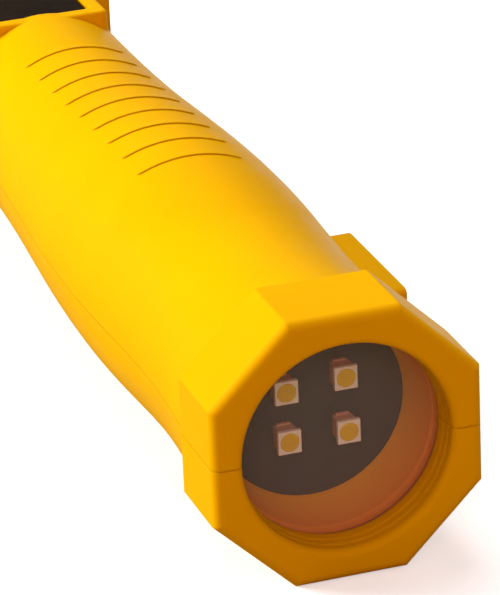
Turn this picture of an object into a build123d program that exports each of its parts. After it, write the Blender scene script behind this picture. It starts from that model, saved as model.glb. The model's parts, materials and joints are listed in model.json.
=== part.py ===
from build123d import *
import os

# A rechargeable hand lamp with an octagonal head, a waisted round grip and an octagonal tail.
# Frame: the origin is the centre of the flat tail face, +Y points out of the tail, the lamp
# shines along -Y and +Z is up. Places along the lamp are stations: millimetres behind the front rim.

# Driving dimensions, millimetres
LENGTH = 205.0
HEAD_WIDTH = 40.3
HEAD_HEIGHT = 40.7
TOP_FLAT = 16.8
SIDE_FLAT = 17.8
HEAD_DEPTH = 14.1
TAIL_START = 176.0
WALL = 2.6
EDGE_ROUND = 1.6
TUNNEL_RADIUS = 14.2
PARTING_GAP = 0.1
PARTING_DEPTH = 0.2
SEAL_WIDTH = 1.0
SEAL_DEPTH = 0.8
CLEARANCE = 0.05
SMALL_ROUND = 0.5
PANEL_THICKNESS = 1.2
BLOCK_OVERLAP = 1.1
TAIL_WALL = 3.0
TAIL_NECK = 4.0
TAIL_CEILING_Z = 11.8

# The grip's outer radius at a few stations
GRIP = [
    (13, 19.7),
    (20, 19.2),
    (36, 18.55),
    (60, 19.45),
    (88, 19.15),
    (116, 17.45),
    (144, 16.7),
    (177, 16.9),
]

# Window stack, front to back
RIM_ROUND = 1.1
BORE_STEPS = [(-1.0, 15.65), (2.2, 15.5), (3.6, 15.35)]
SEAT_RADIUS = 17.0
LENS_STATION = 5.4
LENS_THICKNESS = 2.4
LENS_RADIUS = 15.9
LENS_CHAMFER = 0.25
CUP_FRONT_RADIUS = 15.35
CUP_REAR_RADIUS = 14.2
BOARD_STATION = 16.4
BOARD_THICKNESS = 1.6
SINK_PLATE = 2.2
SINK_DEPTH = 6.0
FIN_PITCH = 4.6
FIN_COUNT = 6
FIN_THICKNESS = 1.2
FIN_REACH = 15.5
WIRE_SLOT = (2.4, 3.0)
WIRE_SLOT_CORNER = 1.1
SEAT_END = BOARD_STATION + BOARD_THICKNESS + SINK_DEPTH + 0.1

# LED packages
LED_PLACES = [(-4.5, 3.9), (4.5, 4.6), (-4.3, -3.9), (4.7, -3.9)]
LED_WIDTH = 3.45
LED_HEIGHT = 3.5
LED_DEPTH = 3.2
LED_BASE_DEPTH = 2.5
LED_BASE_WIDTH = 2.8
LED_BASE_HEIGHT = 3.1
LED_TAB_DEPTH = 0.5
LED_TAB_WIDTH = 2.0
LED_TAB_REACH = 0.1
PHOSPHOR_RADIUS = 1.43
PHOSPHOR_DEPTH = 0.3

# Guard frame and push button
FRAME_START = 146.4
FRAME_END = 174.0
FRAME_HALF_WIDTH = 11.1
FRAME_TOP = 16.4
FRAME_CORNER = 1.0
FRAME_DRAFT = 2.0
BUTTON_CENTRE = 159.4
BUTTON_LENGTH = 21.4
BUTTON_WIDTH = 17.8
BUTTON_GAP = 0.15
BUTTON_TOP = 15.7
BUTTON_STROKE = 1.8
FLANGE_TOP = 11.4
FLANGE_THICKNESS = 1.2
FLANGE_REACH = 0.9
FLANGE_GAP = 0.1
WELL_GAP = 0.3
BUTTON_CORNER = 1.4
BUTTON_EDGE = 0.8
CAP_SKIN = 2.2
CAP_WALL = 1.4
CAP_POST_RADIUS = 3.0
SWITCH_BOARD_TOP = 4.2
SWITCH_TOP = 8.4
PLUNGER_TOP = 10.4
PLUNGER_RADIUS = 2.5
PLUNGER_LENGTH = 3.7
SWITCH_WIDTH = 12.0
SWITCH_BOARD_SIZE = (18, 20)

# Charging port and its cover
PORT_CENTRE = 44.2
PORT_LENGTH = 24.6
PORT_HALF_HEIGHT = 8.2
PORT_SEAT_X = 16.4
PORT_WALL_X = 13.6
PORT_BORDER = 1.2
COVER_OUTER_X = 21.2
COVER_WALL = 1.6
COVER_GAP = 0.2
COVER_LIFT = 0.1
COVER_CORNER = 1.2
SOCKET_LENGTH = 9.0
SOCKET_HEIGHT = 3.3
SOCKET_CORNER = 1.4
SOCKET_BACK_X = 9.0
SOCKET_WALL = 0.35
SOCKET_TONGUE = (6.6, 0.7)
GASKET_SIZE = (13, 4.4)
GASKET_CORNER = 1.8
SOCKET_Z = -4.15
DRIVER_TOP = -5.8
PIVOT_X = 18.8
PIVOT_Z = -9.9
HINGE_PIN_RADIUS = 0.75
EAR_RADIUS = 1.5
EAR_WIDTH = 2.8
EAR_ROOT_X = 14.6
KNUCKLE_LENGTH = 14.0
ARM_THICKNESS = 2.2

# Cell
CELL_RADIUS = 10.6
CELL_START = 60.6
CELL_LENGTH = 70.5
CRADLE_RADIUS = 13.4
CRADLE_START = 56.0
CRADLE_END = 133.2
CRADLE_WALL = 1.6
CRADLE_RIM_Z = 4.0
CRADLE_TOP_Z = 9.0
CRADLE_HOLE_X = -5.0
CRADLE_HOLE_RADIUS = 0.8
RIB_STATIONS = (70, 120)
RIB_THICKNESS = 2.0
CONTACT_RADIUS = 6.5
CONTACT_THICKNESS = 0.5
CONTACT_TAB_WIDTH = 4.0
BATTERY_LEAD_X = 5.0
CELL_BUTTON_RADIUS = 4.5
CELL_BUTTON_HEIGHT = 0.8
CELL_GAP = 0.25
SPRING_WIRE = 0.35
SPRING_RADIUS = 4.2
SPRING_PITCH = 0.85
SPRING_HEIGHT = 1.7
SPRING_PLATE = 0.4

# Screws: x and station of each, entered from below
SCREW_PLACES = [(11.0, 28.6), (9.6, 139.0), (12.4, 188.0)]
SCREW_RADIUS = 1.4
SCREW_HEAD_RADIUS = 2.7
SCREW_HEAD_DEPTH = 2.0
SCREW_SEAT_Z = -9.0
SCREW_TIP_Z = 7.0
BOSS_RADIUS = 4.2
COUNTERBORE_GAP = 0.3
DRIVE_SLOT = (3.2, 0.8)
DRIVE_DEPTH = 1.2

# Lanyard ring and its pocket under the tail
RING_PIVOT = 199.0
RING_Z = -17.4
RING_WIRE = 1.3
RING_HALF_WIDTH = 4.9
RING_LENGTH = 12.5
POCKET_HALF_WIDTH = 6.5
POCKET_CEILING = -14.6
POCKET_START = 184.5
LUG_HALF_WIDTH = 2.8
LUG_RADIUS = 2.5
RING_CORNER = 2.4
RING_GAP = 0.08

# Boards and the pillars under them
PILLAR_RADIUS = 1.5
DRIVER_BOARD_SIZE = (24, 20)
DRIVER_BOARD_X = -1.0
DRIVER_BOARD_CENTRE = 44.0
DRIVER_PILLAR_LENGTH = 8.6
SWITCH_PILLAR_LENGTH = 16.5
DRIVER_PILLAR_GRID = (16, 14)
SWITCH_PILLAR_GRID = (14, 16)

# Raised grip ribs on top
GRIP_RIB_COUNT = 9
GRIP_RIB_FIRST = 69.0
GRIP_RIB_PITCH = 7.6
GRIP_RIB_SPAN = 17.0
GRIP_RIB_WIDTH = 1.5
GRIP_RIB_HEIGHT = 0.2

# Soldered wires
LEAD_RADIUS = 0.5
LEAD_BEND = 1.5
LEAD_X = 3.0
LEAD_Z = 8.0
SOLDER_Z = -5.2


def y_at(station):
    return station - LENGTH


def across(station):
    """Plane square to the lamp's axis; a negative extrusion runs towards the tail."""
    return Plane.XZ.offset(LENGTH - station)


def grip_radius(station):
    """Outer radius of the grip, straight between its stations."""
    for (low, low_radius), (high, high_radius) in zip(GRIP, GRIP[1:]):
        if low <= station <= high:
            share = (station - low) / (high - low)
            return low_radius + share * (high_radius - low_radius)


def octagon_points(inset=0.0):
    """Corners of the head's octagon, moved in by an inset."""
    half_width = HEAD_WIDTH / 2 - inset
    half_height = HEAD_HEIGHT / 2 - inset
    flat_x = TOP_FLAT / 2 - inset * 0.41
    flat_z = SIDE_FLAT / 2 - inset * 0.41
    quarter = [(flat_x, half_height), (half_width, flat_z)]
    right = quarter + [(x, -z) for x, z in reversed(quarter)]
    return right + [(-x, -z) for x, z in right]


def spline_radii(inset):
    return [(radius - inset, y_at(station)) for station, radius in GRIP]


# ---------------------------------------------------------------- shell form

with BuildPart() as head_block:
    with BuildSketch(across(0)):
        Polygon(*octagon_points(), align=None)
    extrude(amount=-HEAD_DEPTH)
    fillet(faces().sort_by(Axis.Y)[0].edges(), EDGE_ROUND)
    with BuildSketch(across(0)):
        Circle(BORE_STEPS[0][1])
    extrude(amount=-HEAD_DEPTH, mode=Mode.SUBTRACT)
    fillet(edges().filter_by(GeomType.CIRCLE).sort_by(Axis.Y)[0], RIM_ROUND)

with BuildPart() as tail_block:
    with BuildSketch(across(TAIL_START)):
        Polygon(*octagon_points(), align=None)
    extrude(amount=TAIL_START - LENGTH)
    fillet(faces().sort_by(Axis.Y)[-1].edges(), EDGE_ROUND)

with BuildPart() as grip_form:
    with BuildSketch(Plane.XY):
        with BuildLine():
            grip_line = Spline(*spline_radii(0))
            Polyline(grip_line @ 1, (0, y_at(GRIP[-1][0])), (0, y_at(GRIP[0][0])), grip_line @ 0)
        make_face()
    revolve(axis=Axis.Y)

with BuildPart() as frame_form:
    frame_middle = (FRAME_START + FRAME_END) / 2
    with BuildSketch(Plane.XY.offset(FRAME_TOP)):
        with Locations((0, y_at(frame_middle))):
            RectangleRounded(2 * FRAME_HALF_WIDTH, FRAME_END - FRAME_START, FRAME_CORNER)
    extrude(amount=-FRAME_TOP, taper=-FRAME_DRAFT)
    fillet(faces().sort_by(Axis.Z)[-1].edges(), SMALL_ROUND)

with BuildPart() as outer_form:
    add(grip_form.part)
    add(frame_form.part)
    with BuildSketch(across(HEAD_DEPTH)):
        Polygon(*octagon_points(), align=None)
    extrude(amount=BLOCK_OVERLAP)
    add(tail_block.part)

with BuildPart() as cavity_form:
    with BuildSketch(Plane.XY):
        with BuildLine():
            inner_line = Spline(*spline_radii(WALL))
            Polyline(inner_line @ 1, (0, y_at(GRIP[-1][0])), (0, y_at(GRIP[0][0])), inner_line @ 0)
        make_face()
    revolve(axis=Axis.Y)
    with BuildSketch(across(0)):
        Circle(HEAD_WIDTH / 2)
    extrude(amount=-SEAT_END, mode=Mode.SUBTRACT)
    with BuildSketch(across(TAIL_START)):
        Circle(TUNNEL_RADIUS)
    extrude(amount=-TAIL_NECK)
    with BuildSketch(across(TAIL_START + TAIL_WALL)):
        Polygon(*octagon_points(TAIL_WALL), align=None)
        with Locations((0, -HEAD_HEIGHT / 2)):
            Rectangle(HEAD_WIDTH, 2 * (HEAD_HEIGHT / 2 - TAIL_CEILING_Z), mode=Mode.SUBTRACT)
    extrude(amount=TAIL_START + 2 * TAIL_WALL - LENGTH)

with BuildPart() as window_form:
    with BuildSketch(across(LENS_STATION)):
        Circle(SEAT_RADIUS)
    extrude(amount=LENS_STATION - SEAT_END)

# The head narrows in fine steps from its rim down to the window
with BuildPart() as rim_steps:
    for step_station, step_radius in BORE_STEPS[1:]:
        with BuildSketch(across(step_station)):
            Circle(BORE_STEPS[0][1] + 0.5)
            Circle(step_radius, mode=Mode.SUBTRACT)
        extrude(amount=step_station - LENS_STATION)

# Posts, ribs and the port's wall, trimmed to the outer form
with BuildPart() as inner_details:
    for side in (-1, 1):
        for x, station in SCREW_PLACES:
            with BuildSketch(Plane.XY.offset(-HEAD_HEIGHT / 2)):
                with Locations((side * x, y_at(station))):
                    Circle(BOSS_RADIUS)
            extrude(amount=HEAD_HEIGHT)
    for station in RIB_STATIONS:
        with BuildSketch(across(station)):
            Circle(HEAD_WIDTH / 2)
            Circle(CRADLE_RADIUS + CLEARANCE, mode=Mode.SUBTRACT)
        extrude(amount=-RIB_THICKNESS)
    with BuildSketch(Plane.YZ.offset(PORT_WALL_X)):
        with Locations((y_at(PORT_CENTRE), 0)):
            Rectangle(PORT_LENGTH + 2 * PORT_BORDER, 2 * (PORT_HALF_HEIGHT + PORT_BORDER))
    extrude(amount=HEAD_WIDTH / 2 - PORT_WALL_X)
    add(outer_form.part, mode=Mode.INTERSECT)

with BuildPart() as port_cut:
    with BuildSketch(Plane.YZ.offset(PORT_SEAT_X)):
        with Locations((y_at(PORT_CENTRE), 0)):
            RectangleRounded(
                PORT_LENGTH + 2 * COVER_GAP,
                2 * (PORT_HALF_HEIGHT + COVER_GAP),
                COVER_CORNER + COVER_GAP,
            )
    extrude(amount=HEAD_WIDTH / 2 - PORT_WALL_X)
    with BuildSketch(Plane.YZ.offset(SOCKET_BACK_X)):
        with Locations((y_at(PORT_CENTRE), SOCKET_Z)):
            RectangleRounded(
                SOCKET_LENGTH + 2 * COVER_GAP,
                SOCKET_HEIGHT + 2 * COVER_GAP,
                SOCKET_CORNER + COVER_GAP,
            )
    extrude(amount=PORT_SEAT_X - SOCKET_BACK_X)

with BuildPart() as button_cut:
    well_top = FLANGE_TOP + FLANGE_GAP
    well_floor = FLANGE_TOP - FLANGE_THICKNESS - BUTTON_STROKE - WELL_GAP
    well_margin = 2 * (FLANGE_REACH + WELL_GAP)
    with BuildSketch(Plane.XY.offset(well_top)):
        with Locations((0, y_at(BUTTON_CENTRE))):
            RectangleRounded(BUTTON_WIDTH, BUTTON_LENGTH, BUTTON_CORNER + BUTTON_GAP)
    extrude(amount=FRAME_TOP - well_top + 1)
    with BuildSketch(Plane.XY.offset(well_floor)):
        with Locations((0, y_at(BUTTON_CENTRE))):
            Rectangle(BUTTON_WIDTH + well_margin, BUTTON_LENGTH + well_margin)
    extrude(amount=well_top - well_floor)

with BuildPart() as screw_cut:
    for side in (-1, 1):
        for x, station in SCREW_PLACES:
            with BuildSketch(Plane.XY.offset(SCREW_SEAT_Z)):
                with Locations((side * x, y_at(station))):
                    Circle(SCREW_HEAD_RADIUS + COUNTERBORE_GAP)
            extrude(amount=-(HEAD_HEIGHT / 2 + SCREW_SEAT_Z + 1))
            with BuildSketch(Plane.XY.offset(SCREW_SEAT_Z)):
                with Locations((side * x, y_at(station))):
                    Circle(SCREW_RADIUS + CLEARANCE)
            extrude(amount=SCREW_TIP_Z - SCREW_SEAT_Z + COUNTERBORE_GAP)

# A hairline groove where the two shells meet
with BuildPart() as parting_groove:
    with BuildSketch(Plane.XY.offset(-PARTING_GAP / 2)):
        with Locations((0, -LENGTH / 2)):
            Rectangle(2 * HEAD_WIDTH, LENGTH + 20)
        for side in (-1, 1):
            with BuildLine():
                skin_line = Spline(*[(side * x, y) for x, y in spline_radii(PARTING_DEPTH)])
                Polyline(skin_line @ 1, (0, y_at(GRIP[-1][0])), (0, y_at(GRIP[0][0])), skin_line @ 0)
            make_face(mode=Mode.SUBTRACT)
        for start, end in ((PARTING_DEPTH, HEAD_DEPTH), (TAIL_START, LENGTH - PARTING_DEPTH)):
            with Locations((0, y_at((start + end) / 2))):
                Rectangle(HEAD_WIDTH - 2 * PARTING_DEPTH, end - start, mode=Mode.SUBTRACT)
    extrude(amount=PARTING_GAP)

with BuildPart() as shell_form:
    add(outer_form.part)
    add(cavity_form.part, mode=Mode.SUBTRACT)
    add(inner_details.part)
    add(head_block.part)
    add(rim_steps.part)
    add(window_form.part, mode=Mode.SUBTRACT)
    add(port_cut.part, mode=Mode.SUBTRACT)
    add(button_cut.part, mode=Mode.SUBTRACT)
    add(screw_cut.part, mode=Mode.SUBTRACT)
    add(parting_groove.part, mode=Mode.SUBTRACT)

# ---------------------------------------------------------------- shell seal

seal_inset = WALL / 2
seal_grip = [(grip_radius(station) - seal_inset, y_at(station)) for station in (62, 88, 116, 144, 174)]
seal_tail = [(18.6, y_at(180)), (18.6, y_at(203.5))]
seal_front = [(grip_radius(16) - seal_inset, y_at(16)), (grip_radius(28) - seal_inset, y_at(28))]
seal_right = seal_front + [(15.0, y_at(31.4)), (15.0, y_at(57.2))] + seal_grip + seal_tail
seal_left = seal_front + [(grip_radius(44) - seal_inset, y_at(44))] + seal_grip + seal_tail
seal_loop = seal_right + [(-x, y) for x, y in reversed(seal_left)]

with BuildPart() as shell_seal:
    with BuildSketch(Plane.XY.offset(-SEAL_DEPTH)):
        with BuildLine() as seal_path:
            Polyline(*seal_loop)
        trace(line_width=SEAL_WIDTH)
    extrude(amount=SEAL_DEPTH)

# ---------------------------------------------------------------- shells

# Slices of a slightly larger grip, rooted in the wall
with BuildPart() as grip_ribs:
    for skin_inset, skin_mode in ((-GRIP_RIB_HEIGHT, Mode.ADD), (WALL / 2, Mode.SUBTRACT)):
        with BuildSketch(Plane.XY):
            with BuildLine():
                rib_line = Spline(*spline_radii(skin_inset))
                Polyline(rib_line @ 1, (0, y_at(GRIP[-1][0])), (0, y_at(GRIP[0][0])), rib_line @ 0)
            make_face()
        revolve(axis=Axis.Y, mode=skin_mode)
    with BuildSketch(Plane.XY):
        for index in range(GRIP_RIB_COUNT):
            with Locations((0, y_at(GRIP_RIB_FIRST + index * GRIP_RIB_PITCH))):
                SlotOverall(GRIP_RIB_SPAN, GRIP_RIB_WIDTH)
    extrude(amount=HEAD_HEIGHT, mode=Mode.INTERSECT)

with BuildPart() as upper_shell:
    add(shell_form.part)
    split(bisect_by=Plane.XY, keep=Keep.TOP)
    add(grip_ribs.part)

with BuildPart() as lower_shell:
    add(shell_form.part)
    split(bisect_by=Plane.XY, keep=Keep.BOTTOM)
    add(shell_seal.part, mode=Mode.SUBTRACT)
    # Hinge ears for the port cover
    for end in (-1, 1):
        ear_station = PORT_CENTRE + end * (KNUCKLE_LENGTH / 2 + COVER_GAP + EAR_WIDTH / 2)
        with BuildSketch(across(ear_station - EAR_WIDTH / 2)):
            with Locations((PIVOT_X, PIVOT_Z)):
                Circle(EAR_RADIUS)
            with Locations(((PIVOT_X + EAR_ROOT_X) / 2, PIVOT_Z)):
                Rectangle(PIVOT_X - EAR_ROOT_X, 2 * EAR_RADIUS)
            with Locations((PIVOT_X, PIVOT_Z)):
                Circle(HINGE_PIN_RADIUS, mode=Mode.SUBTRACT)
        extrude(amount=-EAR_WIDTH)
    # Pocket under the tail for the lanyard ring, with its lug
    with BuildSketch(Plane.XY.offset(POCKET_CEILING)):
        with Locations((0, y_at((POCKET_START + LENGTH + EDGE_ROUND) / 2))):
            Rectangle(2 * POCKET_HALF_WIDTH, LENGTH + EDGE_ROUND - POCKET_START)
    extrude(amount=-HEAD_HEIGHT / 2, mode=Mode.SUBTRACT)
    with BuildSketch(Plane.YZ.offset(-LUG_HALF_WIDTH)):
        with Locations((y_at(RING_PIVOT), RING_Z)):
            Circle(LUG_RADIUS)
        with Locations((y_at(RING_PIVOT), (RING_Z + POCKET_CEILING + 1) / 2)):
            Rectangle(2 * LUG_RADIUS, POCKET_CEILING + 1 - RING_Z)
        with Locations((y_at(RING_PIVOT), RING_Z)):
            Circle(RING_WIRE + RING_GAP, mode=Mode.SUBTRACT)
    extrude(amount=2 * LUG_HALF_WIDTH)
    # Pillars under the driver board and the switch board
    with BuildSketch(Plane.XY.offset(DRIVER_TOP - PANEL_THICKNESS)):
        with Locations((DRIVER_BOARD_X, y_at(DRIVER_BOARD_CENTRE))):
            with GridLocations(*DRIVER_PILLAR_GRID, 2, 2):
                Circle(PILLAR_RADIUS)
    extrude(amount=-DRIVER_PILLAR_LENGTH)
    with BuildSketch(Plane.XY.offset(SWITCH_BOARD_TOP - PANEL_THICKNESS)):
        with Locations((0, y_at(BUTTON_CENTRE))):
            with GridLocations(*SWITCH_PILLAR_GRID, 2, 2):
                Circle(PILLAR_RADIUS)
    extrude(amount=-SWITCH_PILLAR_LENGTH)

# ---------------------------------------------------------------- window stack

with BuildPart() as lens:
    with BuildSketch(across(LENS_STATION)):
        Circle(LENS_RADIUS)
    extrude(amount=-LENS_THICKNESS)
    chamfer(edges().filter_by(GeomType.CIRCLE), LENS_CHAMFER)

with BuildPart() as lens_seal:
    with BuildSketch(Plane.XY):
        with Locations(((LENS_RADIUS + SEAT_RADIUS) / 2, y_at(LENS_STATION + LENS_THICKNESS / 2))):
            Circle((SEAT_RADIUS - LENS_RADIUS) / 2 - CLEARANCE / 2)
    revolve(axis=Axis.Y)

with BuildPart() as lens_spacer:
    spacer_front = LENS_STATION + LENS_THICKNESS + CLEARANCE
    outer_radius = SEAT_RADIUS - CLEARANCE
    with BuildSketch(Plane.XY):
        with BuildLine():
            Polyline(
                (CUP_FRONT_RADIUS, y_at(spacer_front)),
                (outer_radius, y_at(spacer_front)),
                (outer_radius, y_at(BOARD_STATION)),
                (CUP_REAR_RADIUS, y_at(BOARD_STATION)),
                close=True,
            )
        make_face()
    revolve(axis=Axis.Y)

with BuildPart() as led_board:
    with BuildSketch(across(BOARD_STATION)):
        Circle(SEAT_RADIUS - CLEARANCE)
    extrude(amount=-BOARD_THICKNESS)

with BuildPart() as led_packages:
    with BuildSketch(across(BOARD_STATION)):
        with Locations(*LED_PLACES):
            Rectangle(LED_TAB_WIDTH, LED_HEIGHT + 2 * LED_TAB_REACH)
    extrude(amount=LED_TAB_DEPTH)
    with BuildSketch(across(BOARD_STATION)):
        with Locations(*LED_PLACES):
            Rectangle(LED_BASE_WIDTH, LED_BASE_HEIGHT)
    extrude(amount=LED_BASE_DEPTH)
    with BuildSketch(across(BOARD_STATION - LED_BASE_DEPTH)):
        with Locations(*LED_PLACES):
            Rectangle(LED_WIDTH, LED_HEIGHT)
    extrude(amount=LED_DEPTH - LED_BASE_DEPTH)
    with BuildSketch(across(BOARD_STATION - LED_DEPTH)):
        with Locations(*LED_PLACES):
            Circle(PHOSPHOR_RADIUS)
    extrude(amount=-PHOSPHOR_DEPTH, mode=Mode.SUBTRACT)

with BuildPart() as led_phosphors:
    with BuildSketch(across(BOARD_STATION - LED_DEPTH)):
        with Locations(*LED_PLACES):
            Circle(PHOSPHOR_RADIUS - 0.02)
    extrude(amount=-PHOSPHOR_DEPTH)

with BuildPart() as heat_sink:
    sink_station = BOARD_STATION + BOARD_THICKNESS
    with BuildSketch(across(sink_station)):
        Circle(SEAT_RADIUS - CLEARANCE)
    extrude(amount=-SINK_PLATE)
    with BuildSketch(across(sink_station + SINK_PLATE)):
        with GridLocations(FIN_PITCH, 0, FIN_COUNT, 1):
            Rectangle(FIN_THICKNESS, 2 * SEAT_RADIUS)
        Circle(FIN_REACH, mode=Mode.INTERSECT)
    extrude(amount=SINK_PLATE - SINK_DEPTH)
    with BuildSketch(across(sink_station)):
        with Locations((-LEAD_X, LEAD_Z), (LEAD_X, LEAD_Z)):
            RectangleRounded(*WIRE_SLOT, WIRE_SLOT_CORNER)
    extrude(amount=-SINK_DEPTH - 1, mode=Mode.SUBTRACT)

# ---------------------------------------------------------------- driver board and charging

# The inductor and the driver chip: x, station, length, width and height
DRIVER_BLOCKS = [(-5, 42, 6, 6, 3), (2.5, 43, 4, 5, 1.2)]
CAPACITOR_X = -9.5
CAPACITOR_STATION = 47.6
CAPACITOR_RADIUS = 1.6
CAPACITOR_HEIGHT = 4.0

with BuildPart() as driver_board:
    with BuildSketch(Plane.XY.offset(DRIVER_TOP)):
        with Locations((DRIVER_BOARD_X, y_at(DRIVER_BOARD_CENTRE))):
            Rectangle(*DRIVER_BOARD_SIZE)
    extrude(amount=-PANEL_THICKNESS)

with BuildPart() as driver_components:
    for x, station, length, width, height in DRIVER_BLOCKS:
        with BuildSketch(Plane.XY.offset(DRIVER_TOP)):
            with Locations((x, y_at(station))):
                Rectangle(length, width)
        extrude(amount=height)
    with BuildSketch(Plane.XY.offset(DRIVER_TOP)):
        with Locations((CAPACITOR_X, y_at(CAPACITOR_STATION))):
            Circle(CAPACITOR_RADIUS)
    extrude(amount=CAPACITOR_HEIGHT)

with BuildPart() as charge_socket:
    with BuildSketch(Plane.YZ.offset(SOCKET_BACK_X)):
        with Locations((y_at(PORT_CENTRE), SOCKET_Z)):
            RectangleRounded(SOCKET_LENGTH, SOCKET_HEIGHT, SOCKET_CORNER)
    extrude(amount=PORT_SEAT_X - COVER_GAP - SOCKET_BACK_X)
    with BuildSketch(Plane.YZ.offset(SOCKET_BACK_X + 1)):
        with Locations((y_at(PORT_CENTRE), SOCKET_Z)):
            RectangleRounded(
                SOCKET_LENGTH - 2 * SOCKET_WALL,
                SOCKET_HEIGHT - 2 * SOCKET_WALL,
                SOCKET_CORNER - SOCKET_WALL,
            )
            Rectangle(*SOCKET_TONGUE, mode=Mode.SUBTRACT)
    extrude(amount=PORT_SEAT_X - SOCKET_BACK_X, mode=Mode.SUBTRACT)

# ---------------------------------------------------------------- cell and contacts

with BuildPart() as battery_cell:
    with BuildSketch(across(CELL_START)):
        Circle(CELL_RADIUS)
    extrude(amount=CELL_BUTTON_HEIGHT - CELL_LENGTH)
    fillet(edges().filter_by(GeomType.CIRCLE), CELL_BUTTON_HEIGHT)
    with BuildSketch(across(CELL_START + CELL_LENGTH - CELL_BUTTON_HEIGHT)):
        Circle(CELL_BUTTON_RADIUS)
    extrude(amount=-CELL_BUTTON_HEIGHT)

with BuildPart() as cell_cradle:
    with BuildSketch(across(CRADLE_START)):
        Circle(CRADLE_RADIUS)
        with Locations((0, CRADLE_TOP_Z + CRADLE_RADIUS)):
            Rectangle(2 * CRADLE_RADIUS, 2 * CRADLE_RADIUS, mode=Mode.SUBTRACT)
    extrude(amount=CRADLE_START - CRADLE_END)
    with BuildSketch(across(CRADLE_START + CRADLE_WALL)):
        Circle(CELL_RADIUS + CELL_GAP)
        with Locations((0, CRADLE_RIM_Z + CRADLE_RADIUS)):
            Rectangle(3 * CRADLE_RADIUS, 2 * CRADLE_RADIUS)
    extrude(amount=-(CRADLE_END - CRADLE_START - 2 * CRADLE_WALL), mode=Mode.SUBTRACT)
    with BuildSketch(across(CRADLE_START)):
        with Locations((CRADLE_HOLE_X, 0)):
            Circle(CRADLE_HOLE_RADIUS)
    extrude(amount=-CRADLE_WALL, mode=Mode.SUBTRACT)

spring_start = CRADLE_START + CRADLE_WALL
coil_centre = (0, y_at(spring_start + SPRING_PLATE + SPRING_WIRE - CLEARANCE), 0)
with BuildPart() as contact_spring:
    with BuildSketch(across(spring_start)):
        Circle(CONTACT_RADIUS)
    extrude(amount=-SPRING_PLATE)
    with BuildLine() as coil_path:
        Helix(SPRING_PITCH, SPRING_HEIGHT, SPRING_RADIUS, center=coil_centre, direction=(0, 1, 0))
    with BuildSketch(Plane(origin=coil_path.line @ 0, z_dir=coil_path.line % 0)):
        Circle(SPRING_WIRE)
    sweep(path=coil_path.line, is_frenet=True)

with BuildPart() as contact_plate:
    with BuildSketch(across(CELL_START + CELL_LENGTH)):
        Circle(CONTACT_RADIUS)
        with Locations((BATTERY_LEAD_X, CONTACT_RADIUS)):
            Rectangle(CONTACT_TAB_WIDTH, 2 * CONTACT_RADIUS - 2)
    extrude(amount=-CONTACT_THICKNESS)

# ---------------------------------------------------------------- switch and button

with BuildPart() as switch_board:
    with BuildSketch(Plane.XY.offset(SWITCH_BOARD_TOP)):
        with Locations((0, y_at(BUTTON_CENTRE))):
            Rectangle(*SWITCH_BOARD_SIZE)
    extrude(amount=-PANEL_THICKNESS)

with BuildPart() as switch_body:
    with BuildSketch(Plane.XY.offset(SWITCH_BOARD_TOP)):
        with Locations((0, y_at(BUTTON_CENTRE))):
            Rectangle(SWITCH_WIDTH, SWITCH_WIDTH)
    extrude(amount=SWITCH_TOP - SWITCH_BOARD_TOP)
    with BuildSketch(Plane.XY.offset(SWITCH_TOP)):
        with Locations((0, y_at(BUTTON_CENTRE))):
            Circle(PLUNGER_RADIUS + CLEARANCE)
    plunger_floor = PLUNGER_TOP - PLUNGER_LENGTH - BUTTON_STROKE - 2 * CLEARANCE
    extrude(amount=plunger_floor - SWITCH_TOP, mode=Mode.SUBTRACT)

with BuildPart() as switch_plunger:
    with BuildSketch(Plane.XY.offset(PLUNGER_TOP)):
        with Locations((0, y_at(BUTTON_CENTRE))):
            Circle(PLUNGER_RADIUS)
    extrude(amount=-PLUNGER_LENGTH)

with BuildPart() as button_cap:
    cap_width = BUTTON_WIDTH - 2 * BUTTON_GAP
    cap_length = BUTTON_LENGTH - 2 * BUTTON_GAP
    flange_bottom = FLANGE_TOP - FLANGE_THICKNESS
    with BuildSketch(Plane.XY.offset(flange_bottom)):
        with Locations((0, y_at(BUTTON_CENTRE))):
            RectangleRounded(cap_width, cap_length, BUTTON_CORNER)
    extrude(amount=BUTTON_TOP - flange_bottom)
    fillet(faces().sort_by(Axis.Z)[-1].edges(), BUTTON_EDGE)
    with BuildSketch(Plane.XY.offset(flange_bottom)):
        with Locations((0, y_at(BUTTON_CENTRE))):
            RectangleRounded(cap_width + 2 * FLANGE_REACH, cap_length + 2 * FLANGE_REACH, BUTTON_CORNER)
    extrude(amount=FLANGE_THICKNESS)
    with BuildSketch(Plane.XY.offset(flange_bottom)):
        with Locations((0, y_at(BUTTON_CENTRE))):
            RectangleRounded(cap_width - 2 * CAP_WALL, cap_length - 2 * CAP_WALL, SMALL_ROUND)
    extrude(amount=BUTTON_TOP - CAP_SKIN - flange_bottom, mode=Mode.SUBTRACT)
    with BuildSketch(Plane.XY.offset(PLUNGER_TOP)):
        with Locations((0, y_at(BUTTON_CENTRE))):
            Circle(CAP_POST_RADIUS)
    extrude(amount=BUTTON_TOP - CAP_SKIN - PLUNGER_TOP)

# ---------------------------------------------------------------- port cover

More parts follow.
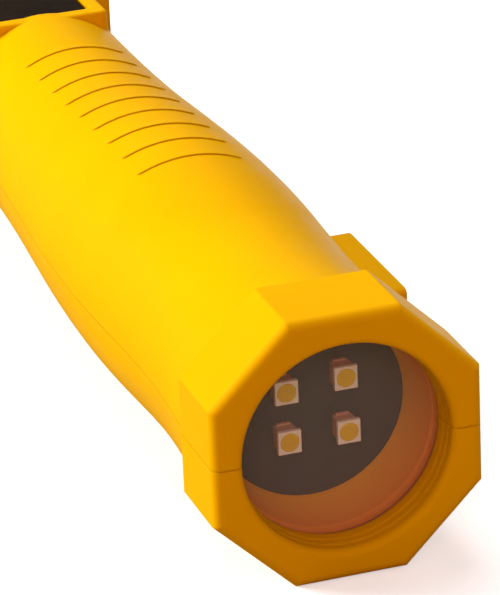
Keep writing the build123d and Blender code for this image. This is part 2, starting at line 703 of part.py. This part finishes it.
with BuildPart() as port_cover:
    with BuildSketch(Plane.YZ.offset(PORT_SEAT_X + COVER_LIFT)):
        with Locations((y_at(PORT_CENTRE), 0)):
            RectangleRounded(PORT_LENGTH, 2 * PORT_HALF_HEIGHT, COVER_CORNER)
    extrude(amount=COVER_OUTER_X - PORT_SEAT_X - COVER_LIFT)
    fillet(faces().sort_by(Axis.X)[-1].edges(), SMALL_ROUND)
    with BuildSketch(Plane.YZ.offset(PORT_SEAT_X)):
        with Locations((y_at(PORT_CENTRE), 0)):
            RectangleRounded(PORT_LENGTH - 2 * COVER_WALL, 2 * (PORT_HALF_HEIGHT - COVER_WALL), SMALL_ROUND)
    extrude(amount=COVER_OUTER_X - COVER_WALL - PORT_SEAT_X, mode=Mode.SUBTRACT)
    with BuildSketch(across(PORT_CENTRE - KNUCKLE_LENGTH / 2)):
        with Locations((PIVOT_X, PIVOT_Z)):
            Circle(EAR_RADIUS)
        with Locations((PIVOT_X + COVER_GAP, (PIVOT_Z - PORT_HALF_HEIGHT + SMALL_ROUND) / 2)):
            Rectangle(ARM_THICKNESS, SMALL_ROUND - PORT_HALF_HEIGHT - PIVOT_Z)
        with Locations((PIVOT_X, PIVOT_Z)):
            Circle(HINGE_PIN_RADIUS + CLEARANCE, mode=Mode.SUBTRACT)
    extrude(amount=-KNUCKLE_LENGTH)

with BuildPart() as port_cover_pin:
    pin_length = KNUCKLE_LENGTH + 2 * COVER_GAP + 2 * EAR_WIDTH
    with BuildSketch(across(PORT_CENTRE - pin_length / 2)):
        with Locations((PIVOT_X, PIVOT_Z)):
            Circle(HINGE_PIN_RADIUS)
    extrude(amount=-pin_length)

with BuildPart() as port_gasket:
    with BuildSketch(Plane.YZ.offset(PORT_SEAT_X + COVER_LIFT)):
        with Locations((y_at(PORT_CENTRE), SOCKET_Z)):
            RectangleRounded(*GASKET_SIZE, GASKET_CORNER)
    extrude(amount=COVER_OUTER_X - COVER_WALL - PORT_SEAT_X - COVER_LIFT)

# ---------------------------------------------------------------- lanyard ring, screws, leads

with BuildPart() as lanyard_ring:
    ring_front = y_at(RING_PIVOT - RING_LENGTH)
    with BuildLine(Plane.XY.offset(RING_Z)) as ring_path:
        FilletPolyline(
            (-RING_HALF_WIDTH, y_at(RING_PIVOT)),
            (RING_HALF_WIDTH, y_at(RING_PIVOT)),
            (RING_HALF_WIDTH, ring_front),
            (-RING_HALF_WIDTH, ring_front),
            radius=RING_CORNER,
            close=True,
        )
    with BuildSketch(Plane(origin=ring_path.line @ 0, z_dir=ring_path.line % 0)):
        Circle(RING_WIRE)
    sweep(path=ring_path.line)

with BuildPart() as shell_screws:
    for side in (-1, 1):
        for x, station in SCREW_PLACES:
            with BuildSketch(Plane.XY.offset(SCREW_SEAT_Z)):
                with Locations((side * x, y_at(station))):
                    Circle(SCREW_RADIUS)
            extrude(amount=SCREW_TIP_Z - SCREW_SEAT_Z)
            with BuildSketch(Plane.XY.offset(SCREW_SEAT_Z)):
                with Locations((side * x, y_at(station))):
                    Circle(SCREW_HEAD_RADIUS)
            extrude(amount=-SCREW_HEAD_DEPTH)
            with BuildSketch(Plane.XY.offset(SCREW_SEAT_Z - SCREW_HEAD_DEPTH)):
                with Locations((side * x, y_at(station))):
                    Rectangle(*DRIVE_SLOT)
                    Rectangle(*reversed(DRIVE_SLOT))
            extrude(amount=DRIVE_DEPTH, mode=Mode.SUBTRACT)


# Middle line of each wire: x, station and z of the points it passes
LED_LEAD_LINES = [[(x, 18.1, LEAD_Z), (x, 29, LEAD_Z), (x, 36, SOLDER_Z)] for x in (-LEAD_X, LEAD_X)]
BATTERY_LEAD_LINES = [
    [(BATTERY_LEAD_X, 131, 11.4), (BATTERY_LEAD_X, 54, 11.4), (BATTERY_LEAD_X, 50, SOLDER_Z)],
    [(-5, 57.5, 0), (-5, 53.5, 0), (-5, 51, SOLDER_Z)],
]
SWITCH_LEAD_LINES = [
    [(-2.4, 150.4, 4.8), (-2.4, 136, 11.6), (-2.4, 54, 11.6), (-1.2, 49, SOLDER_Z)],
    [(-4.6, 150.4, 4.8), (-4.6, 136, 11.4), (-4.6, 54, 11.4), (-8, 51, SOLDER_Z)],
]

with BuildPart() as led_leads:
    for points in LED_LEAD_LINES:
        with BuildLine() as path:
            FilletPolyline(*[(x, y_at(station), z) for x, station, z in points], radius=LEAD_BEND)
        with BuildSketch(Plane(origin=path.line @ 0, z_dir=path.line % 0)):
            Circle(LEAD_RADIUS)
        sweep(path=path.line)

with BuildPart() as battery_leads:
    for points in BATTERY_LEAD_LINES:
        with BuildLine() as path:
            FilletPolyline(*[(x, y_at(station), z) for x, station, z in points], radius=LEAD_BEND)
        with BuildSketch(Plane(origin=path.line @ 0, z_dir=path.line % 0)):
            Circle(LEAD_RADIUS)
        sweep(path=path.line)

with BuildPart() as switch_leads:
    for points in SWITCH_LEAD_LINES:
        with BuildLine() as path:
            FilletPolyline(*[(x, y_at(station), z) for x, station, z in points], radius=LEAD_BEND)
        with BuildSketch(Plane(origin=path.line @ 0, z_dir=path.line % 0)):
            Circle(LEAD_RADIUS)
        sweep(path=path.line)

# ---------------------------------------------------------------- export

parts = {
    "upper_shell": upper_shell,
    "lower_shell": lower_shell,
    "shell_seal": shell_seal,
    "lens": lens,
    "lens_seal": lens_seal,
    "lens_spacer": lens_spacer,
    "led_board": led_board,
    "led_packages": led_packages,
    "led_phosphors": led_phosphors,
    "heat_sink": heat_sink,
    "led_leads": led_leads,
    "driver_board": driver_board,
    "driver_components": driver_components,
    "charge_socket": charge_socket,
    "battery_cell": battery_cell,
    "cell_cradle": cell_cradle,
    "contact_spring": contact_spring,
    "contact_plate": contact_plate,
    "battery_leads": battery_leads,
    "switch_board": switch_board,
    "switch_body": switch_body,
    "switch_plunger": switch_plunger,
    "switch_leads": switch_leads,
    "button_cap": button_cap,
    "port_cover": port_cover,
    "port_cover_pin": port_cover_pin,
    "port_gasket": port_gasket,
    "lanyard_ring": lanyard_ring,
    "shell_screws": shell_screws,
}

os.makedirs("parts", exist_ok=True)
for name, builder in parts.items():
    builder.part.label = name
    export_step(builder.part, f"parts/{name}.step")
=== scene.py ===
import json
import math

import bmesh
import bpy
from mathutils import Matrix, Vector


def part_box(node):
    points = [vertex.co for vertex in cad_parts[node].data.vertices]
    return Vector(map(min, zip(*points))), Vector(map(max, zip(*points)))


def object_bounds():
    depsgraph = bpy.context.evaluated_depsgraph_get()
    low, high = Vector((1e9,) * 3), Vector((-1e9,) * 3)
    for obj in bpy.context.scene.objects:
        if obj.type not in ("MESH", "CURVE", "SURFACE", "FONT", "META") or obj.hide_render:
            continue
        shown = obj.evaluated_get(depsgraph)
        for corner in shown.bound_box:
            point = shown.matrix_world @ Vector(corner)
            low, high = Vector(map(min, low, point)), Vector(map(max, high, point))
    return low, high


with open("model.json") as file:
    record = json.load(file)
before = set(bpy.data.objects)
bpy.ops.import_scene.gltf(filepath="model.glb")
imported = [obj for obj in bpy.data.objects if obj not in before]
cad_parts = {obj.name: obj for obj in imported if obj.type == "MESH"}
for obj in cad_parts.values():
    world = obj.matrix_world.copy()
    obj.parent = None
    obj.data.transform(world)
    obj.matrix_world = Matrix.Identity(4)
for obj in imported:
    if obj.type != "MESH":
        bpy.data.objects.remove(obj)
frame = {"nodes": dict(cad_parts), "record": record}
cad_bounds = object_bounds()

# A yellow hand lamp. +Y runs from the head to the tail, +Z is up and lengths are metres.
# The head's front rim is at the frame's lowest y.
FRONT_Y = cad_bounds[0][1]
FLOOR_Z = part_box("lower_shell")[0].z

WHITE = (1.0, 1.0, 1.0)
WARM = (1.0, 0.5, 0.36)
SHELL_YELLOW = (0.9, 0.48, 0.0)
SHELL_DEEP = (0.86, 0.44, 0.0)
YELLOW_SHEEN = (1.0, 0.55, 0.0)
# The cup's colour is painted light and shade: deeper and redder by the rim, paler and yellower towards the
# board.
CUP_RIM_SHADE = (0.83, 0.28, 0.002)
CUP_BOTTOM_LIGHT = (0.98, 0.5, 0.012)
LENS_CLEAR = (0.97, 0.97, 0.95)
LENS_GREY = (0.93, 0.93, 0.92)

# Normals soften over EDGE_ROUND from an edge; plastic edges also get a painted highlight, a lighter band
# whose width is set here too.
EDGE_ROUND = 0.0003
SHELL_EDGE_ROUND = 0.0006
LED_EDGE_ROUND = 0.0001
EDGE_HIGHLIGHT_WIDTH = 0.0006
EDGE_SAMPLES = 4

# Sizes of the blobs of noise: slow drifts of colour, patches of gloss, waves and grain.
COLOUR_DRIFT = 0.03
GLOSS_PATCHES = 0.004
MOULD_WAVES = 0.012
MOULD_GRAIN = 0.00035
RUBBER_DUST = 0.006
RUBBER_PATCHES = 0.002
RUBBER_GRAIN = 0.0003
METAL_STAINS = 0.003
METAL_PATCHES = 0.0006
METAL_GRAIN = 0.0004
BOARD_PATCHES = 0.003
BOARD_WEAVE = 0.0005
CERAMIC_MOTTLE = 0.0006
CERAMIC_PATCHES = 0.001
CERAMIC_GRAIN = 0.0004
LENS_TINT_DRIFT = 0.01
LENS_HAZE = 0.004
LENS_WAVES = 0.006

# Depths of the bumps.
MOULD_WAVE_DEPTH = 0.00004
MOULD_GRAIN_DEPTH = 0.00001
RUBBER_GRAIN_DEPTH = 0.00002
METAL_GRAIN_DEPTH = 0.000006
BOARD_WEAVE_DEPTH = 0.00001
CERAMIC_GRAIN_DEPTH = 0.000005
LENS_WAVE_DEPTH = 0.00002

# Plastic grows shinier where its surface turns edge on, from this share of the turn.
GLANCING_START = 0.78

# An LED package: the pale layer in front is this thick, and blends into the base over a little more.
LED_LAYER = 0.0006
LED_LAYER_BLEND = 0.0001

LENS_OPACITY = 0.05
LENS_IOR = 1.45

# The floor is pale to the camera, and dimmer and warmer to the light that bounces off it.
FLOOR_PALE = (0.9, 0.9, 0.9)
FLOOR_SHADE = (0.88, 0.88, 0.88)
FLOOR_BOUNCE = (0.34, 0.26, 0.12)
FLOOR_GLOW = 0.5
FLOOR_DRIFT = 0.4
FLOOR_HALF_WIDTH = 3.0
FLOOR_NEAR = -3.0
FLOOR_FAR = 3.0
FLOOR_RISE = 2.5
CURL_RADIUS = 1.0
CURL_STEPS = 12
# The floor keeps its paleness in reflections from this far right of the lamp's middle.
MIRROR_RIGHT = 0.1

# The camera is ahead of the lamp, above it and to its left, tipped a little off level.
CAMERA_TURN = math.radians(18.15)
CAMERA_DROP = math.radians(23.24)
CAMERA_ROLL = math.radians(-2.43)
CAMERA_DISTANCE = 0.572
CAMERA_AIM = Vector((-0.0137, FRONT_Y, 0.0255))
CAMERA_LENS = 254.0
CAMERA_SENSOR = 36.0
CAMERA_NEAREST = 0.01
CAMERA_FARTHEST = 20

LIGHT_AIM = Vector((0, -0.12, 0))
WORLD_LIGHT = 0.16


# ---------------------------------------------------------------- materials


class Surface:
    """A node material under construction: a Principled BSDF and helpers that feed it."""

    def __init__(self, name):
        self.material = bpy.data.materials.new(name)
        self.material.use_nodes = True
        self.tree = self.material.node_tree
        self.shader = self.tree.nodes["Principled BSDF"]
        self.place = self.node("ShaderNodeTexCoord").outputs["Object"]

    def node(self, kind, **settings):
        made = self.tree.nodes.new(kind)
        for key, value in settings.items():
            setattr(made, key, value)
        return made

    def link(self, source, target):
        self.tree.links.new(source, target)

    def put(self, name, value):
        """Sets an input of the shader to a number, a colour or another node's output."""
        socket = self.shader.inputs[name]
        if isinstance(value, bpy.types.NodeSocket):
            self.link(value, socket)
        elif isinstance(value, tuple):
            socket.default_value = (*value, 1.0)
        else:
            socket.default_value = value

    def along(self, axis):
        """The point's place along one axis, in metres."""
        split = self.node("ShaderNodeSeparateXYZ")
        self.link(self.place, split.inputs["Vector"])
        return split.outputs[axis]

    def noise(self, size, detail=2.0, stretch=(1, 1, 1)):
        """Noise whose blobs are about size metres across."""
        mapping = self.node("ShaderNodeMapping")
        mapping.inputs["Scale"].default_value = stretch
        self.link(self.place, mapping.inputs["Vector"])
        texture = self.node("ShaderNodeTexNoise")
        texture.inputs["Scale"].default_value = 1.0 / size
        texture.inputs["Detail"].default_value = detail
        self.link(mapping.outputs["Vector"], texture.inputs["Vector"])
        return texture.outputs["Fac"]

    def spread(self, source, low_out, high_out, low_in=0.3, high_in=0.7):
        """Maps a value from one range to another. Noise mostly lies between 0.3 and 0.7."""
        ranged = self.node("ShaderNodeMapRange")
        ranged.inputs["From Min"].default_value = low_in
        ranged.inputs["From Max"].default_value = high_in
        ranged.inputs["To Min"].default_value = low_out
        ranged.inputs["To Max"].default_value = high_out
        self.link(source, ranged.inputs["Value"])
        return ranged.outputs["Result"]

    def product(self, first, second):
        times = self.node("ShaderNodeMath", operation="MULTIPLY")
        self.link(first, times.inputs[0])
        self.link(second, times.inputs[1])
        return times.outputs["Value"]

    def blend_colours(self, factor, first, second):
        mix = self.node("ShaderNodeMix", data_type="RGBA")
        self.link(factor, mix.inputs["Factor"])
        for socket, colour in ((mix.inputs[6], first), (mix.inputs[7], second)):
            if isinstance(colour, tuple):
                socket.default_value = (*colour, 1.0)
            else:
                self.link(colour, socket)
        return mix.outputs[2]

    def softened(self, radius):
        """The surface's normal, rounded within radius of each edge."""
        bevel = self.node("ShaderNodeBevel", samples=EDGE_SAMPLES)
        bevel.inputs["Radius"].default_value = radius
        return bevel.outputs["Normal"]

    def bump(self, layers, edge_round=EDGE_ROUND):
        """Stacks bump layers given as (height, depth in metres, strength) over softened edges."""
        normal = self.softened(edge_round)
        for height, depth, strength in layers:
            bump = self.node("ShaderNodeBump")
            bump.inputs["Distance"].default_value = depth
            bump.inputs["Strength"].default_value = strength
            self.link(height, bump.inputs["Height"])
            self.link(normal, bump.inputs["Normal"])
            normal = bump.outputs["Normal"]
        self.put("Normal", normal)

    def edge_mask(self):
        """1 on edges and corners, 0 on flats: how far a rounded normal leaves the plain one."""
        plain = self.node("ShaderNodeNewGeometry")
        dot = self.node("ShaderNodeVectorMath", operation="DOT_PRODUCT")
        self.link(self.softened(EDGE_HIGHLIGHT_WIDTH), dot.inputs[0])
        self.link(plain.outputs["Normal"], dot.inputs[1])
        return self.spread(dot.outputs["Value"], 1.0, 0.0, 0.8, 0.995)


def darker(colour, share):
    return tuple(c * share for c in colour)


def plastic(
    name,
    colour,
    deeper,
    roughness=0.42,
    specular=0.3,
    glancing=0.4,
    sheen=WHITE,
    edge_round=EDGE_ROUND,
):
    """Moulded plastic: faint colour drift, a fine spark-eroded grain and a painted highlight lightening the
    edges.
    """
    s = Surface(name)
    drift = s.spread(s.noise(COLOUR_DRIFT, 3.0), 0.0, 1.0)
    base = s.blend_colours(drift, colour, deeper)
    # The edges are painted a little lighter: a painted highlight.
    edge_highlight = tuple(min(1.0, c * 1.06 + 0.004) for c in colour)
    s.put("Base Color", s.blend_colours(s.edge_mask(), base, edge_highlight))
    s.put("Roughness", s.spread(s.noise(GLOSS_PATCHES, 4.0), roughness - 0.05, roughness + 0.06))
    facing = s.node("ShaderNodeLayerWeight").outputs["Facing"]
    s.put("Specular IOR Level", s.spread(facing, specular, glancing, GLANCING_START, 1.0))
    s.put("Specular Tint", sheen)
    grain = (s.noise(MOULD_GRAIN), MOULD_GRAIN_DEPTH, 0.35)
    waves = (s.noise(MOULD_WAVES, 1.0), MOULD_WAVE_DEPTH, 0.25)
    s.bump([grain, waves], edge_round)
    return s.material


def cup_plastic(name, rim_shade, board_light):
    """The cup behind the lens: moulded plastic with painted light and shade, deeper and redder by the rim
    and paler and yellower towards the board.
    """
    s = Surface(name)
    rim, end = (corner.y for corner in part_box("lens_spacer"))
    depth = s.spread(s.along("Y"), 0.0, 1.0, rim, end)
    s.put("Base Color", s.blend_colours(depth, rim_shade, board_light))
    s.put("Roughness", s.spread(s.noise(GLOSS_PATCHES, 4.0), 0.45, 0.56))
    s.put("Specular IOR Level", 0.1)
    s.bump([(s.noise(MOULD_GRAIN), MOULD_GRAIN_DEPTH, 0.35)])
    return s.material


def led_ceramic(name, face, base):
    """An LED package: a pale front layer on a mottled base, whose warmer colour is painted shade and orange
    light bounced from the cup.
    """
    s = Surface(name)
    layer_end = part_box("led_packages")[0].y + LED_LAYER
    front = s.spread(s.along("Y"), 1.0, 0.0, layer_end, layer_end + LED_LAYER_BLEND)
    spots = s.spread(s.noise(CERAMIC_MOTTLE, 3.0), 0.0, 0.4)
    mottled = s.blend_colours(spots, base, darker(base, 0.7))
    s.put("Base Color", s.blend_colours(front, mottled, face))
    s.put("Roughness", s.spread(s.noise(CERAMIC_PATCHES), 0.35, 0.5))
    s.put("Specular IOR Level", 0.3)
    s.bump([(s.noise(CERAMIC_GRAIN), CERAMIC_GRAIN_DEPTH, 0.3)], LED_EDGE_ROUND)
    return s.material


def rubber(name, colour, roughness=0.72):
    """Matt rubber with a fine grain and paler dusty patches."""
    s = Surface(name)
    dusty = tuple(c * 1.5 + 0.001 for c in colour)
    dust = s.spread(s.noise(RUBBER_DUST, 4.0), 0.0, 0.6)
    s.put("Base Color", s.blend_colours(dust, colour, dusty))
    s.put("Roughness", s.spread(s.noise(RUBBER_PATCHES, 3.0), roughness - 0.08, roughness + 0.1))
    s.put("Specular IOR Level", 0.08)
    s.bump([(s.noise(RUBBER_GRAIN), RUBBER_GRAIN_DEPTH, 0.5)])
    return s.material


def metal(name, colour, roughness=0.28, stretch=(1, 1, 1)):
    """Bare metal with duller stains; a stretch other than 1 draws its marks out as brushing."""
    s = Surface(name)
    stains = s.spread(s.noise(METAL_STAINS, 4.0, stretch), 0.0, 1.0)
    s.put("Base Color", s.blend_colours(stains, colour, darker(colour, 0.78)))
    s.put("Metallic", 1.0)
    patches = s.noise(METAL_PATCHES, 3.0, stretch)
    s.put("Roughness", s.spread(patches, roughness - 0.08, roughness + 0.12))
    s.bump([(s.noise(METAL_GRAIN, 2.0, stretch), METAL_GRAIN_DEPTH, 0.4)])
    return s.material


def clear_plastic(name):
    """A polished polycarbonate window: light passes straight through, with a soft sheen and faint haze."""
    s = Surface(name)
    tint = s.spread(s.noise(LENS_TINT_DRIFT), 0.0, 1.0)
    s.put("Base Color", s.blend_colours(tint, LENS_CLEAR, LENS_GREY))
    s.put("Roughness", s.spread(s.noise(LENS_HAZE, 4.0), 0.05, 0.12))
    s.put("IOR", LENS_IOR)
    s.put("Alpha", LENS_OPACITY)
    s.bump([(s.noise(LENS_WAVES), LENS_WAVE_DEPTH, 0.2)])
    return s.material


def board(name, colour, trace_colour):
    """Solder mask over faint copper: a fine weave, pale specks and a satin surface."""
    s = Surface(name)
    specks = s.spread(s.noise(BOARD_WEAVE), 0.0, 0.5, 0.45, 0.75)
    s.put("Base Color", s.blend_colours(specks, colour, trace_colour))
    s.put("Roughness", s.spread(s.noise(BOARD_PATCHES, 3.0), 0.45, 0.62))
    s.put("Specular IOR Level", 0.35)
    s.bump([(s.noise(BOARD_WEAVE), BOARD_WEAVE_DEPTH, 0.3)])
    return s.material


MATERIALS = {
    "shell_yellow": plastic(
        "shell_yellow",
        SHELL_YELLOW,
        SHELL_DEEP,
        specular=0.03,
        glancing=0.3,
        sheen=YELLOW_SHEEN,
        edge_round=SHELL_EDGE_ROUND,
    ),
    "cup_yellow": cup_plastic("cup_yellow", CUP_RIM_SHADE, CUP_BOTTOM_LIGHT),
    "seal_rubber": rubber("seal_rubber", (0.4, 0.12, 0.01)),
    "lens_clear": clear_plastic("lens_clear"),
    "board_black": board("board_black", (0.026, 0.042, 0.06), (0.038, 0.056, 0.078)),
    # The LED packages' warm base colour is painted shade and orange light bounced from the cup.
    "led_white": led_ceramic("led_white", (0.9, 0.95, 0.95), (0.62, 0.4, 0.3)),
    "led_phosphor": plastic(
        "led_phosphor",
        (0.82, 0.66, 0.01),
        (0.7, 0.52, 0.01),
        roughness=0.3,
        specular=0.2,
    ),
    "sink_aluminium": metal("sink_aluminium", (0.72, 0.73, 0.75), 0.35, (1, 8, 1)),
    "lead_insulation": rubber("lead_insulation", (0.35, 0.02, 0.015), 0.45),
    "board_green": board("board_green", (0.01, 0.09, 0.035), (0.03, 0.16, 0.06)),
    "component_black": plastic(
        "component_black",
        (0.02, 0.02, 0.022),
        (0.03, 0.03, 0.03),
        roughness=0.5,
    ),
    "socket_steel": metal("socket_steel", (0.68, 0.68, 0.7), 0.25),
    "cell_sleeve": plastic(
        "cell_sleeve",
        (0.02, 0.1, 0.35),
        (0.015, 0.085, 0.3),
        roughness=0.25,
        specular=0.5,
    ),
    "cradle_black": plastic(
        "cradle_black",
        (0.025, 0.025, 0.025),
        (0.035, 0.034, 0.033),
        roughness=0.55,
    ),
    "spring_steel": metal("spring_steel", (0.75, 0.74, 0.7), 0.22),
    "plunger_white": plastic(
        "plunger_white",
        (0.75, 0.75, 0.72),
        (0.7, 0.7, 0.67),
        roughness=0.35,
    ),
    "button_rubber": rubber("button_rubber", (0.012, 0.007, 0.004), 0.85),
    "pin_steel": metal("pin_steel", (0.6, 0.6, 0.62), 0.25),
    "ring_steel": metal("ring_steel", (0.62, 0.62, 0.64), 0.24, (1, 1, 6)),
    "screw_steel": metal("screw_steel", (0.16, 0.16, 0.17), 0.35),
}

for entry in frame["record"]["subparts"]:
    piece = frame["nodes"][entry["node"]]
    piece.data.materials.clear()
    piece.data.materials.append(MATERIALS[entry["material_slot"]])


# ---------------------------------------------------------------- stage, light and camera


def floor_paper():
    """Pale paper, with the bounced light and the reflections it gives the lamp set apart."""
    s = Surface("floor_paper")
    shade = s.spread(s.noise(FLOOR_DRIFT), 0.0, 1.0)
    pale = s.blend_colours(shade, FLOOR_PALE, FLOOR_SHADE)
    path = s.node("ShaderNodeLightPath")
    seen = path.outputs["Is Camera Ray"]
    right_side = s.spread(s.along("X"), 0.0, 1.0, 0.0, MIRROR_RIGHT)
    mirrored = s.product(right_side, path.outputs["Is Glossy Ray"])
    unseen = s.blend_colours(mirrored, FLOOR_BOUNCE, pale)
    s.put("Base Color", s.blend_colours(seen, unseen, pale))
    s.put("Emission Color", WHITE)
    s.put("Emission Strength", s.spread(seen, 0.0, FLOOR_GLOW, 0.0, 1.0))
    s.put("Roughness", 0.9)
    s.put("Specular IOR Level", 0.0)
    return s.material


def add_floor():
    """A pale floor that curls up far behind the lamp."""
    curl_start = FLOOR_FAR - CURL_RADIUS
    profile = [(FLOOR_NEAR, 0.0), (curl_start, 0.0)]
    for step in range(1, CURL_STEPS + 1):
        angle = math.pi / 2 * step / CURL_STEPS
        along = curl_start + CURL_RADIUS * math.sin(angle)
        profile.append((along, CURL_RADIUS * (1.0 - math.cos(angle))))
    profile.append((FLOOR_FAR, FLOOR_RISE))
    mesh = bmesh.new()
    rows = []
    for x in (-FLOOR_HALF_WIDTH, FLOOR_HALF_WIDTH):
        rows.append([mesh.verts.new((x, y, FLOOR_Z + z)) for y, z in profile])
    left, right = rows
    for index in range(len(profile) - 1):
        mesh.faces.new((left[index], right[index], right[index + 1], left[index + 1]))
    data = bpy.data.meshes.new("floor")
    mesh.to_mesh(data)
    mesh.free()
    floor = bpy.data.objects.new("floor", data)
    bpy.context.scene.collection.objects.link(floor)
    data.materials.append(floor_paper())


def add_light(name, place, size, watts, colour=WHITE):
    """A round soft light that faces the lamp."""
    data = bpy.data.lights.new(name, "AREA")
    data.color = colour
    data.shape = "DISK"
    data.size = size
    data.energy = watts
    light = bpy.data.objects.new(name, data)
    light.location = place
    light.rotation_euler = (LIGHT_AIM - Vector(place)).to_track_quat("-Z", "Y").to_euler()
    bpy.context.scene.collection.objects.link(light)


def add_camera():
    level = math.cos(CAMERA_DROP)
    forward = Vector((math.sin(CAMERA_TURN) * level, math.cos(CAMERA_TURN) * level, -math.sin(CAMERA_DROP)))
    level_right = Vector((math.cos(CAMERA_TURN), -math.sin(CAMERA_TURN), 0))
    level_up = level_right.cross(forward)
    right = level_right * math.cos(CAMERA_ROLL) + level_up * math.sin(CAMERA_ROLL)
    up = right.cross(forward)
    facing = Matrix((right, up, -forward)).transposed().to_4x4()
    data = bpy.data.cameras.new("camera")
    data.lens = CAMERA_LENS
    data.sensor_width = CAMERA_SENSOR
    data.clip_start = CAMERA_NEAREST
    data.clip_end = CAMERA_FARTHEST
    camera = bpy.data.objects.new("camera", data)
    camera.matrix_world = Matrix.Translation(CAMERA_AIM - forward * CAMERA_DISTANCE) @ facing
    bpy.context.scene.collection.objects.link(camera)
    bpy.context.scene.camera = camera


add_floor()
add_light("key", (-1.75, 0.75, 0.8), 0.9, 55)
add_light("top", (0.1, 0.5, 1.7), 1.2, 15)
add_light("front_fill", (-0.3, -1.6, 0.9), 1.4, 11.6, WARM)
add_light("right_fill", (1.4, 0.3, 0.9), 1.2, 4)
add_camera()

world = bpy.data.worlds.new("studio")
world.use_nodes = True
world.node_tree.nodes["Background"].inputs["Color"].default_value = (*WHITE, 1.0)
world.node_tree.nodes["Background"].inputs["Strength"].default_value = WORLD_LIGHT
scene = bpy.context.scene
scene.world = world
scene.view_settings.view_transform = "Standard"
scene.view_settings.look = "None"
